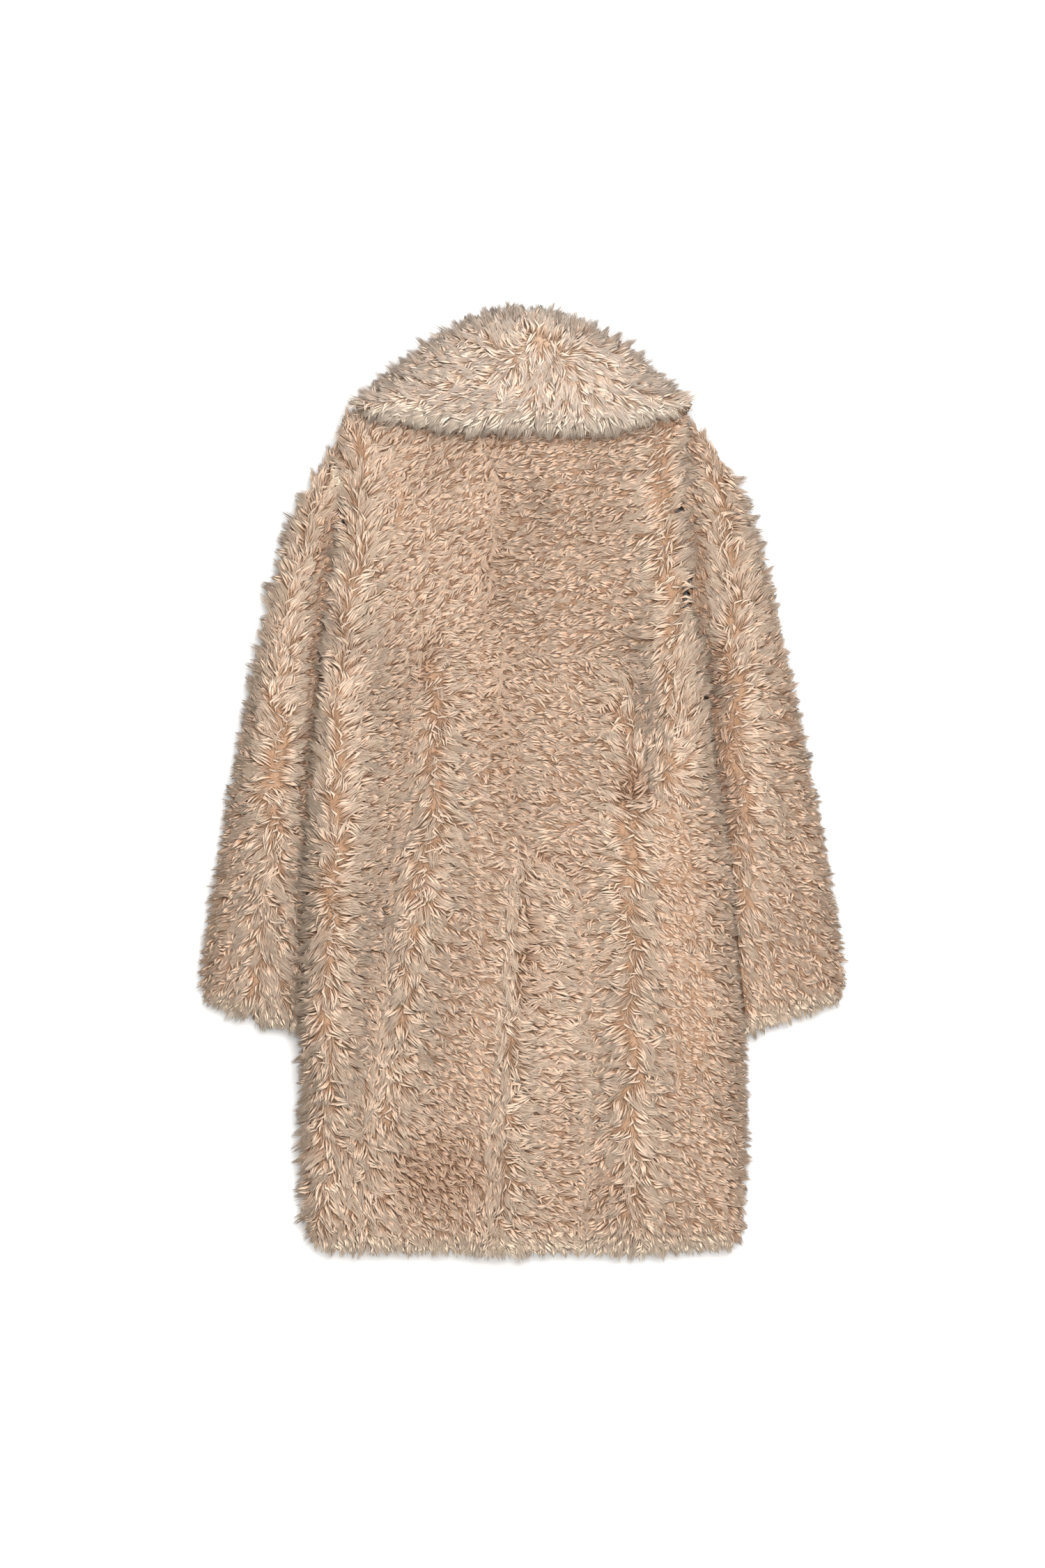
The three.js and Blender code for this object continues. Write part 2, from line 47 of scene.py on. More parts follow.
# Each parting runs down the cloth. From its line the fur goes to the left and to the right, and at
# each row it rises (+) or falls (-) by an angle in degrees: place y and x, the angle of the left and
# of the right side, how far each side reaches, and how strong the parting is. Millimetres.
partings = {
    "leftSide": [
        (385, -175, 60, 50, 44, 66, 0.3),
        (311, -174, 60, 40, 51, 147, 1),
        (247, -175, 60, 30, 51, 147, 1),
        (194, -180, 60, 33, 51, 132, 1),
        (141, -192, 60, 35, 51, 92, 1),
        (91, -194, 60, 28, 51, 81, 1),
        (54, -194, 55, 18, 51, 77, 1),
        (-12, -197, 55, 20, 51, 74, 1),
        (-62, -199, 40, 20, 51, 66, 1),
        (-105, -203, 20, 5, 44, 59, 1),
        (-142, -196, -45, -12, 44, 59, 1),
        (-189, -208, -50, -20, 44, 70, 1),
        (-264, -203, -55, -35, 44, 66, 1),
        (-349, -208, -60, -35, 44, 55, 1),
        (-424, -209, -60, -40, 44, 51, 1),
        (-490, -209, -70, -60, 44, 51, 0.6),
    ],
    "leftBack": [
        (226, -93, -6, 4, 18, 66, 0),
        (127, -93, -14, -3, 26, 74, 0.45),
        (26, -91, -25, -12, 29, 81, 1),
        (-42, -93, -25, -20, 33, 81, 1),
        (-84, -105, -25, -20, 33, 88, 1),
        (-125, -110, -30, -28, 33, 99, 1),
        (-194, -120, -40, -32, 33, 107, 1),
        (-293, -135, -45, -32, 33, 118, 1),
        (-356, -147, -45, -32, 33, 125, 1),
        (-404, -160, -50, -42, 29, 132, 1),
        (-468, -168, -60, -60, 29, 132, 0.8),
    ],
    "middle": [
        (-56, -5, -30, -20, 7, 44, 0),
        (-100, -7, -40, -24, 10, 59, 0.9),
        (-147, -7, -60, -22, 12, 66, 1),
        (-203, -10, -70, -12, 12, 70, 1),
        (-293, -12, -70, -3, 13, 72, 1),
        (-372, -19, -75, -6, 16, 77, 1),
        (-416, -23, -75, -12, 19, 81, 1),
        (-483, -28, -80, -30, 22, 81, 0.6),
    ],
    "rightBack": [
        (142, 114, 12, 60, 110, 16, 0),
        (105, 114, 16, 60, 140, 18, 1),
        (52, 114, 12, 60, 140, 18, 1),
        (10, 114, 18, 50, 132, 22, 1),
        (-20, 114, 15, 0, 118, 44, 1),
        (-45, 114, 12, -15, 103, 88, 1),
        (-77, 110, 8, -8, 88, 96, 1),
        (-109, 112, -5, -28, 48, 118, 1),
        (-174, 114, -15, -32, 44, 125, 1),
        (-239, 114, -20, -30, 44, 125, 1),
        (-325, 114, -25, -27, 44, 125, 1),
        (-424, 117, -30, -34, 48, 125, 1),
        (-490, 119, -50, -50, 48, 125, 0.6),
    ],
    "rightSide": [
        (385, 148, -20, 10, 110, 37, 0.3),
        (311, 147, -16, 20, 162, 44, 1),
        (279, 147, -18, 38, 169, 44, 1),
        (254, 148, -14, 40, 176, 44, 1),
        (207, 158, -12, 45, 184, 37, 1),
        (164, 159, -10, 45, 176, 37, 1),
        (120, 160, -30, 45, 44, 37, 1),
        (52, 155, -60, 50, 22, 44, 1),
        (2, 153, -60, -20, 19, 44, 1),
        (-34, 150, -60, -22, 15, 44, 0),
    ],
    "sleeveLeft": [
        (326, -212, 40, 50, 44, 44, 0.6),
        (247, -232, 50, 40, 51, 51, 1),
        (188, -247, 60, 32, 59, 51, 1),
        (137, -255, 60, 25, 66, 51, 1),
        (86, -257, 50, 20, 66, 51, 1),
        (33, -259, 25, 8, 66, 51, 1),
        (-9, -261, -10, -15, 74, 59, 1),
        (-72, -265, -30, -32, 74, 59, 1),
        (-115, -272, -42, -45, 74, 66, 1),
        (-174, -274, -48, -58, 74, 66, 1),
        (-240, -276, -65, -65, 74, 66, 1),
    ],
    "sleeveRight": [
        (326, 205, 20, -28, 29, 59, 0.6),
        (247, 219, 55, 20, 44, 44, 1),
        (201, 220, 55, 42, 44, 51, 1),
        (149, 225, 35, 32, 51, 59, 1),
        (117, 222, 0, 26, 51, 66, 1),
        (85, 220, -45, 0, 51, 74, 1),
        (47, 222, -35, -5, 51, 81, 1),
        (-12, 227, -12, -22, 59, 81, 1),
        (-77, 230, -8, -26, 66, 81, 1),
        (-142, 220, -20, -40, 66, 88, 1),
        (-203, 216, -35, -50, 66, 88, 1),
        (-255, 216, -60, -62, 66, 88, 1),
    ],
}
bodyPartings = ["leftSide", "leftBack", "middle", "rightBack", "rightSide"]

# The collar's fur is combed round: place x and y, the angle it points to, and how far that holds
collarCombing = [
    (-75, 478, 125, 30),
    (-32, 492, 105, 30),
    (28, 494, 80, 30),
    (80, 470, 48, 30),
    (125, 440, 25, 28),
    (-120, 446, 150, 30),
    (-160, 408, 165, 28),
    (-195, 388, 172, 22),
    (165, 408, 5, 26),
    (195, 388, -5, 22),
    (-100, 425, 178, 32),
    (-60, 450, 172, 28),
    (-45, 425, 192, 28),
    (-10, 462, 115, 16),
    (12, 440, -98, 24),
    (30, 425, -88, 20),
    (42, 455, 60, 14),
    (66, 440, -50, 24),
    (95, 430, -28, 18),
    (118, 420, -15, 22),
    (-52, 399, 200, 26),
    (-111, 396, 188, 26),
    (-8, 395, 218, 26),
    (29, 395, -115, 20),
    (58, 398, -70, 20),
    (88, 396, -50, 20),
    (132, 396, -20, 22),
    (-140, 384, 200, 18),
    (-74, 374, 212, 18),
    (-8, 370, 238, 18),
    (36, 368, -100, 18),
    (80, 374, -68, 18),
    (130, 382, -40, 18),
]


def smooth(low, high, value):
    t = np.clip((value - low) / (high - low), 0, 1)
    return t * t * (3 - 2 * t)


# A soft even noise of a place, the same on each run: waves of four directions and lengths
def waves(x, y, length, seed):
    draw = np.random.default_rng(seed)
    total = np.zeros_like(x)
    for k in range(4):
        turn = draw.uniform(0, math.pi)
        size = length * draw.uniform(0.7, 1.5)
        across = (x * math.cos(turn) + y * math.sin(turn)) / size
        along = (y * math.cos(turn) - x * math.sin(turn)) / size
        total += np.sin(2 * math.pi * across + 1.7 * np.sin(along + k) + draw.uniform(0, 6))
    return total / 4


parted = {
    "crestWidth": 9,  # how fast the fur's angle settles beside a crest
    "steepAtCrest": 68,  # the steepest angle there, and how much steeper than further out
    "steeper": 2.3,
    "crestReach": 26,  # how far the painted highlight of a crest and its longer fur reach
    "wander": ((4, 17), (2.5, 7.3)),  # how a crest sways: width and length, twice
    "fades": (40, 20),  # past its first and last rows and before them
    "letsGo": (0.6, 1.4),  # shares of a side's reach between which its pull ends
    "holds": (0.02, 0.3),
}


# Where fur with these partings points at each place, how near it is to a crest, and how upright it
# stands where two flows meet
def combedByPartings(names, x, y):
    flow = np.zeros((len(x), 2))
    weights = np.full(len(x), 1e-6)
    crest = np.zeros(len(x))
    for name in names:
        rows = np.array(sorted(partings[name]), float)
        at = lambda column: np.interp(y, rows[:, 0], rows[:, column])
        (wide, long), (small, short) = parted["wander"]
        away = x - at(1) - wide * np.sin(y / long + rows[0, 0]) - small * np.sin(y / short)
        onLeft = away < 0
        lean = np.where(onLeft, at(2), at(3))
        reach = np.where(onLeft, at(4), at(5))
        outer, inner = parted["fades"]
        ends = smooth(rows[0, 0] - outer, rows[0, 0] + inner, y)
        ends = ends * (1 - smooth(rows[-1, 0] - inner, rows[-1, 0] + outer, y))
        near = np.exp(-np.abs(away) / parted["crestWidth"])
        steep = np.clip(lean * parted["steeper"], -parted["steepAtCrest"], parted["steepAtCrest"])
        angle = np.radians(lean + (steep - lean) * near)
        pull = at(6) * ends * (1 - smooth(*parted["letsGo"], np.abs(away) / reach)) + 1e-9
        flow[:, 0] += pull * np.where(onLeft, -1, 1) * np.cos(angle)
        flow[:, 1] += pull * np.sin(angle)
        weights += pull
        # The crest's painted highlight, which also makes its fur longer
        tone = np.exp(-((away / parted["crestReach"]) ** 2))
        crest = np.maximum(crest, at(6) * ends * tone)
    size = np.hypot(*flow.T)
    held = np.clip(size / weights, 0, 1) * smooth(*parted["holds"], weights)
    return flow, crest, 1 - held


# Soft ridges with a painted highlight (+) and hollows with painted shade (-) on the back, with longer
# fur on the ridges and more upright fur in the hollows: x, y, reach to the sides and along the coat,
# strength
litRidgesShadedHollows = [
    (24, 20, 9, 60, 0.5),
    (28, -108, 9, 70, 0.9),
    (31, -214, 9, 70, 1),
    (46, -275, 10, 42, 1),
    (60, -325, 11, 42, 1),
    (80, -385, 13, 40, 0.7),
    (-166, 200, 17, 130, 0.5),
    (144, 300, 10, 90, 0.6),
    (176, 160, 9, 75, 0.7),
    (133, 80, 20, 36, 0.4),
    (-91, -406, 70, 46, -0.9),
    (0, -170, 11, 80, -0.8),
    (117, -6, 18, 24, -0.9),
    (95, 80, 12, 40, -0.5),
    (90, -417, 27, 30, -0.8),
    (-20, 270, 22, 60, -0.3),
    (-60, 120, 14, 60, -0.3),
]


# The painted highlight (+) and painted shade (-) of those ridges and hollows at each place
def litRidgesShadedHollowsAt(x, y):
    total = np.zeros(len(x))
    for px, py, aside, lengthwise, strength in litRidgesShadedHollows:
        total += strength * np.exp(-(((x - px) / aside) ** 2) - ((y - py) / lengthwise) ** 2)
    return total


combing = {"reach": 0.8, "crest": 0.6, "upright": 0.35, "settles": 2}


# The same for the collar
def combedRound(x, y):
    flow = np.zeros((len(x), 2))
    for px, py, angle, reach in collarCombing:
        pull = np.exp(-((x - px) ** 2 + (y - py) ** 2) / (combing["reach"] * reach) ** 2) + 1e-9
        flow += pull[:, None] * [math.cos(math.radians(angle)), math.sin(math.radians(angle))]
    size = np.hypot(*flow.T)
    crest = np.full(len(x), combing["crest"])
    upright = combing["upright"] * np.exp(-size * combing["settles"])
    return flow / np.maximum(size, 1e-9)[:, None], crest, upright


# The cloth
shellSizes = {
    "inset": 10.5,  # how far it is drawn in at a free rim, and from how far in that begins
    "insetReach": 48,
    "beside": 3,  # another panel that near makes a wall a seam
    "clear": 2,  # how far off a wall the room above and below it is looked at
    "rimsRead": 8,  # how many rims give the outward direction at a place
    "sewnAbove": 300,  # the shoulders, where walls run on into each other
    "capTurn": 0.8,  # how far a sleeve cap's wall there has turned to the collar
    "notDown": -0.1,
    "tilted": 0.02,  # a wall is upright up to this tilt
    "offFace": 0.05,  # rays start this much off a face
    "underSkin": 0.2,
    "faceDown": -0.2,
}
cloths = {
    # node: how much of its height the cloth keeps under the fur, flat cut (width, length), share of that
    "front_left": {"keep": 0.94, "flat": (0.36, 0.94), "area": 0.25},
    "front_right": {"keep": 0.94, "flat": (0.36, 0.94), "area": 0.24},
    "back_left": {"keep": 0.72, "flat": (0.27, 0.94), "area": 0.22},
    "back_right": {"keep": 0.72, "flat": (0.25, 0.94), "area": 0.19},
    "sleeve_left": {"keep": 0.8, "flat": (0.36, 0.66), "area": 0.17},
    "sleeve_right": {"keep": 0.8, "flat": (0.36, 0.66), "area": 0.18},
    "collar": {"keep": 0.72, "flat": (0.40, 0.17), "area": 0.045},
    "collar_front_left": {"keep": 0.9, "flat": (0.20, 0.26), "area": 0.036},
    "collar_front_right": {"keep": 0.9, "flat": (0.20, 0.26), "area": 0.036},
}


def pointsOf(mesh):
    points = np.empty(len(mesh.vertices) * 3, np.float32)
    mesh.vertices.foreach_get("co", points)
    return points.reshape(-1, 3).astype(float)


# A merged, finer copy of a CAD panel
def copiedPanel(node):
    shell = bpy.data.objects.new("cloth_" + node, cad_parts[node].data.copy())
    bpy.context.scene.collection.objects.link(shell)
    bpy.context.view_layer.objects.active = shell
    shell.select_set(True)
    bpy.ops.object.mode_set(mode="EDIT")
    bpy.ops.mesh.select_all(action="SELECT")
    bpy.ops.mesh.remove_doubles(threshold=1e-5)
    bpy.ops.mesh.subdivide(number_cuts=1)
    bpy.ops.mesh.quads_convert_to_tris()
    bpy.ops.mesh.select_all(action="DESELECT")
    bpy.ops.object.mode_set(mode="OBJECT")
    shell.select_set(False)
    return shell


# Where the shoulders run on into each other and in under the collar, their walls aren't free
def covered(panel, face):
    if face.center.y <= shellSizes["sewnAbove"] * mm or panel.startswith("collar"):
        return False
    turnedIn = not panel.startswith("sleeve") or face.normal.y > shellSizes["capTurn"]
    return face.normal.y > shellSizes["notDown"] and turnedIn


# The free rims of some panels, as their places and outward directions in millimetres: upright walls
# with no other panel right beside them or above, and nothing of their own above or below
def freeRims(panels):
    up = Vector((0, 0, 1))
    beside, clear = shellSizes["beside"] * mm, shellSizes["clear"] * mm
    places, ways = [], []
    for panel in panels:
        shell = shells[panel]
        points = pointsOf(shell.data)
        for face in shell.data.polygons:
            if abs(face.normal.z) > shellSizes["tilted"] or covered(panel, face):
                continue
            way = Vector((face.normal.x, face.normal.y, 0)).normalized()
            start = Vector(points[list(face.vertices)].mean(0)) + way * shellSizes["offFace"] * mm
            out = start + way * clear
            if any(tree.ray_cast(start, way, beside)[0] or tree.ray_cast(out, up)[0]
                   for tree in cadTrees.values()) or cadTrees[panel].ray_cast(out, -up)[0]:
                continue
            places.append(start / mm)
            ways.append(way[:2])
    return np.array(places), np.array(ways)


# For each point the outward direction at the rims near it, and how far away they are
def towardsRims(rims, points):
    places, ways = rims
    tree = KDTree(len(places))
    for i, place in enumerate(places):
        tree.insert((place[0], place[1], 0), i)
    tree.balance()
    found = [tree.find_n((x, y, 0), shellSizes["rimsRead"]) for x, y in points[:, :2]]
    away = np.array([near[0][2] for near in found])
    way = np.array([ways[[hit[1] for hit in near]].mean(0) for near in found])
    return way / np.maximum(np.hypot(*way.T), 1e-6)[:, None], away


# Draws the panel in under its fur: in from its free rims, and down from its top
def drawIn(shell, rims, keep):
    points = pointsOf(shell.data) / mm
    way, away = towardsRims(rims, points)
    share = 1 - smooth(0, shellSizes["insetReach"], away)
    points[:, :2] -= shellSizes["inset"] * share[:, None] * way
    normals = np.array([v.normal for v in shell.data.vertices])
    floor = points[:, 2].min()
    tree = BVHTree.FromObject(shell, bpy.context.evaluated_depsgraph_get())
    low = np.empty(len(points))
    for i, vertex in enumerate(shell.data.vertices):
        under = vertex.co - Vector((0, 0, shellSizes["underSkin"] * mm))
        hit = None
        if normals[i, 2] > shellSizes["faceDown"]:
            hit = tree.ray_cast(under, Vector((0, 0, -1)))[0]
        low[i] = hit.z / mm if hit else points[i, 2]
    low = np.maximum(np.minimum(low, points[:, 2]), floor)
    points[:, 2] = low + (points[:, 2] - low) * keep
    shell.data.vertices.foreach_set("co", (points * mm).astype(np.float32).ravel())
    shell.data.update()


shells = {node: copiedPanel(node) for node in cloths}
depsgraph = bpy.context.evaluated_depsgraph_get()
cadTrees = {node: BVHTree.FromObject(solid, depsgraph) for node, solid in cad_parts.items()}
sewnTogether = [["front_left", "front_right", "back_left", "back_right"], ["sleeve_left"],
                ["sleeve_right"], ["collar", "collar_front_left", "collar_front_right"]]
rimsOf = {}
for panels in sewnTogether:
    rims = freeRims(panels)
    for node in panels:
        rimsOf[node] = rims
        drawIn(shells[node], rims, cloths[node]["keep"])
    print("cloth", *panels, len(rims[0]), "rim faces")


# The fur: locks, bent in the middle, with finer straight hairs between and over them
locks = {
    "clump": 8.5,  # space between clumps, and the turn and curl of each in degrees
    "clumpTurn": 14,
    "curl": 22,
    "fewerAtCrests": 0.5,
    "strays": 1.2,  # how far off its place a lock may look for its clump
    "turn": 6,  # a lock's own turn in degrees, and share of curl
    "ownCurl": 0.35,
    "sway": 18,  # the slow sway of the combing in degrees, and its length
    "swayLength": 31,
    "swayWaves": 5,
    "sunk": 1.2,  # its root lies in the cloth
    "covered": 12,  # no fur grows where another panel is that near
    "coveredFrom": 1.5,
    "standOff": 1.5,  # on walls, how much it stands off, and from where down it hangs
    "hangsBelow": (6, 26),
    "wallTurn": (0.05, 0.55),
    # the painted shade on the walls
    "wallShade": 0.45,
    "lowestFacing": -0.8,
    "litFromAbove": 1.4,  # how far loose fibre takes its light from above
    "floor": 0.3,  # it lies on the floor and never under it
    "tries": 5,
    "uneven": 0.15,
    "shorter": {"upright": 0.15, "foot": 0.35, "wall": 0.5},
    "lifts": {"upright": 20, "uneven": 6, "hair": 6},
    "clumpLonger": 1.05,
    "gathers": (0.7, 0.6),  # least share, and the random rest
    "middleGathers": 0.35,
    "widthVaries": (0.75, 0.5),
    "slimAtEdges": 0.3,
    "bendsDown": 0.45,  # in radians, and the flattest end
    "flattest": 0.08,
    "halves": (0.5, 0.54),
    # the painted shade at the shaded foot of a panel above
    "footShade": 0.9,
}
shapes = {
    # corners as (along the lock's line, across, over), and the triangles between them
    "fur": {
        "corners": [(0, -0.35, 0), (0, 0, 0.2), (0, 0.35, 0), (0.5, -0.5, 0), (0.5, 0, 0.42),
                    (0.5, 0.5, 0), (1, 0, 0)],
        "faces": [(0, 2, 1), (0, 1, 4), (0, 4, 3), (1, 2, 5), (1, 5, 4), (2, 0, 3), (2, 3, 5),
                  (3, 4, 6), (4, 5, 6), (5, 3, 6)],
    },
    "hair": {
        "corners": [(0, -0.5, 0), (0, 0, 0.5), (0, 0.5, 0), (1, 0, 0)],
        "faces": [(0, 2, 1), (0, 1, 3), (1, 2, 3), (2, 0, 3)],
    },
}
furs = {
    # panel: space between locks and between hairs, length, longer at crests, lift over the cloth in
    # degrees, how much the tips gather. Millimetres.
    "front_left": (5.0, 2.6, 13, 0, 22, 0.5),
    "front_right": (5.0, 2.6, 13, 0, 22, 0.5),
    "back_left": (4.7, 2.2, 14.5, 8, 26, 0.66),
    "back_right": (4.7, 2.12, 14.5, 8, 26, 0.66),
    "sleeve_left": (4.7, 2.1, 14, 8, 25, 0.66),
    "sleeve_right": (4.7, 2.1, 14, 8, 25, 0.66),
    "collar": (4.5, 2.05, 21, 0, 24, 0.7),
    "collar_front_left": (5.0, 2.6, 13, 0, 22, 0.5),
    "collar_front_right": (5.0, 2.6, 13, 0, 22, 0.5),
}
widths = {"fur": 3.1, "hair": 1.35}
reaches = {"fur": 0.82, "hair": 1.06}
draw = np.random.default_rng(11)


def normalised(vectors):
    return vectors / np.maximum(np.linalg.norm(vectors, axis=1), 1e-9)[:, None]


rowOfCells = 4001


# One place out of many in each cell of that size
def spaced(points, size):
    cells = np.floor(points / size).astype(np.int64)
    keys = (cells[:, 0] * rowOfCells + cells[:, 1]) * rowOfCells + cells[:, 2]
    return np.unique(keys, return_index=True)[1]


# Random places on a panel's upper side and walls, about evenly spaced, clear of other panels
def rootsOn(panel, space):
    mesh = shells[panel].data
    mesh.calc_loop_triangles()
    corners = np.array([t.vertices for t in mesh.loop_triangles])
    points = pointsOf(mesh) / mm
    a, b, c = (points[corners[:, k]] for k in range(3))
    cross = np.cross(b - a, c - a)
    area = np.linalg.norm(cross, axis=1) / 2
    faced = normalised(cross)
    centres = (a + b + c) / 3 + faced * shellSizes["offFace"]
    beside = shellSizes["beside"] * mm
    for i in range(len(area)):
        inSeam = clothTree.ray_cast(Vector(centres[i]) * mm, Vector(faced[i]), beside)[0]
        if inSeam or faced[i, 2] < locks["lowestFacing"]:
            area[i] = 0
    wanted = int(area.sum() / space**2 * locks["tries"])
    which = draw.choice(len(area), wanted, p=area / area.sum())
    u, v = draw.random((2, wanted))
    over = u + v > 1
    u[over], v[over] = 1 - u[over], 1 - v[over]
    places = a[which] * (1 - u - v)[:, None] + b[which] * u[:, None] + c[which] * v[:, None]
    kept = spaced(places + draw.uniform(0, space, 3), space)
    which, u, v = which[kept], u[kept], v[kept]
    # Normals of the open sides alone, so that the fur stands the same on both sides of a seam
    normals = np.zeros((len(points), 3))
    for k in range(3):
        np.add.at(normals, corners[:, k], faced * area[:, None])
    normals = normalised(normals)
    a, b, c = (normals[corners[which, k]] for k in range(3))
    normals = normalised(a * (1 - u - v)[:, None] + b * u[:, None] + c * v[:, None])
    places = places[kept]
    reach = locks["covered"] * mm
    start = locks["coveredFrom"]
    clear = [not clothTree.ray_cast(Vector(p + n * start) * mm, Vector(n), reach)[0]
             for p, n in zip(places, normals)]
    return places[clear], normals[clear]


# A direction over the ground, laid along cloth that faces another way than up
def laidAlong(normals, flow):
    axis = np.cross([0, 0, 1.0], normals)
    sine = np.hypot(axis[:, 0], axis[:, 1])[:, None]
    axis = axis / np.maximum(sine, 1e-9)
    flat = np.column_stack([flow, np.zeros(len(flow))])
    cosine = normals[:, 2:3]
    along = (axis * flat).sum(1)[:, None]
    return flat * cosine + np.cross(axis, flat) * sine + axis * along * (1 - cosine)


def turned(flow, degrees):
    angle = np.radians(degrees)
    return np.column_stack([
        flow[:, 0] * np.cos(angle) - flow[:, 1] * np.sin(angle),
        flow[:, 0] * np.sin(angle) + flow[:, 1] * np.cos(angle),
    ])


edges = {
    # how far the combing turns outward at free edges, further where they face down the coat
    "reach": (4, 26), "facesDown": (0.5, 0.9), "pull": (0.6, 0.35), "pullOverSleeve": 0.75,
    "overSleeveAbove": (-290, -230),
    # the painted highlight along the fringe of free edges: where it ends, how much wider on the hem and
    # cuffs, and its strength
    "edgeHighlight": (3, 18), "wider": (9, 16), "strength": (0.7, 0.3),
}
feet = {
    # the shaded foot of the body on the sleeves, and of the collar on the back
    "body": (14, 34), "weakBelow": (-140, 40), "weak": (0.3, 0.7), "noneAbove": (250, 315),
    "collar": (2, 18), "collarStrength": 0.7,
}
uprightShare = 0.7


# How the fur of a panel lies at each place: direction, nearness to a crest, uprightness, the painted
# highlight of its edge, how near it is to the foot of another panel that lies over it, and to a free edge
def combed(panel, places):
    x, y = places[:, 0], places[:, 1]
    foot = np.zeros(len(x))
    if panel.startswith("collar"):
        flow, crest, upright = combedRound(x, y)
    elif panel.startswith("sleeve"):
        flow, crest, upright = combedByPartings(["sleeveLeft" if x.mean() < 0 else "sleeveRight"], x, y)
        foot = 1 - smooth(*feet["body"], towardsRims(rimsOf["back_left"], places)[1])
        weak, rest = feet["weak"]
        foot *= (weak + rest * smooth(*feet["weakBelow"], y)) * (1 - smooth(*feet["noneAbove"], y))
    else:
        flow, crest, upright = combedByPartings(bodyPartings, x, y)
        # The painted highlight of the ridges joins the crests, and the painted shade of the hollows the
        # upright fur
        litAndShaded = litRidgesShadedHollowsAt(x, y)
        crest = np.clip(np.maximum(crest, litAndShaded), 0, 1)
        upright = np.maximum(uprightShare * upright, np.maximum(-litAndShaded, 0))
        if panel.startswith("back"):
            near = 1 - smooth(*feet["collar"], towardsRims(collarRims, places)[1])
            foot = feet["collarStrength"] * near
    way, away = towardsRims(rimsOf[panel], places)
    downward = smooth(*edges["facesDown"], -way[:, 1])
    nearEdge = 1 - smooth(*edges["reach"], away)
    overSleeve = panel.startswith("back") * smooth(*edges["overSleeveAbove"], y)
    least, more = edges["pull"]
    pull = nearEdge * np.maximum(least + more * downward, edges["pullOverSleeve"] * overSleeve)
    flow = flow / np.maximum(np.hypot(*flow.T), 1e-9)[:, None]
    flow = flow * (1 - pull)[:, None] + way * pull[:, None]
    flow = flow / np.maximum(np.hypot(*flow.T), 1e-9)[:, None]
    flow = turned(flow, locks["sway"] * waves(x, y, locks["swayLength"], locks["swayWaves"]))
    # The painted highlight along a free edge, wider where the edge faces down the coat, and stronger there
    # and over the sleeves
    (inner, outer), (innerMore, outerMore) = edges["edgeHighlight"], edges["wider"]
    wide = 1 - smooth(inner + innerMore * downward, outer + outerMore * downward, away)
    least, more = edges["strength"]
    edgeHighlight = (least + more * np.maximum(downward, overSleeve)) * wide
    return flow, crest, np.clip(upright * (1 - nearEdge), 0, 1), edgeHighlight, foot, nearEdge


# The middle and tip of a lock from its root
def lockLine(roots, normals, flow, curl, lift, length):
    rise = np.radians(lift)[:, None]
    middle = laidAlong(normals, flow) * np.cos(rise) + normals * np.sin(rise)
    rise = np.maximum(rise - locks["bendsDown"], locks["flattest"])
    end = laidAlong(normals, turned(flow, curl)) * np.cos(rise) + normals * np.sin(rise)
    first, second = locks["halves"]
    middle = roots + middle * length[:, None] * first
    return middle, middle + end * length[:, None] * second


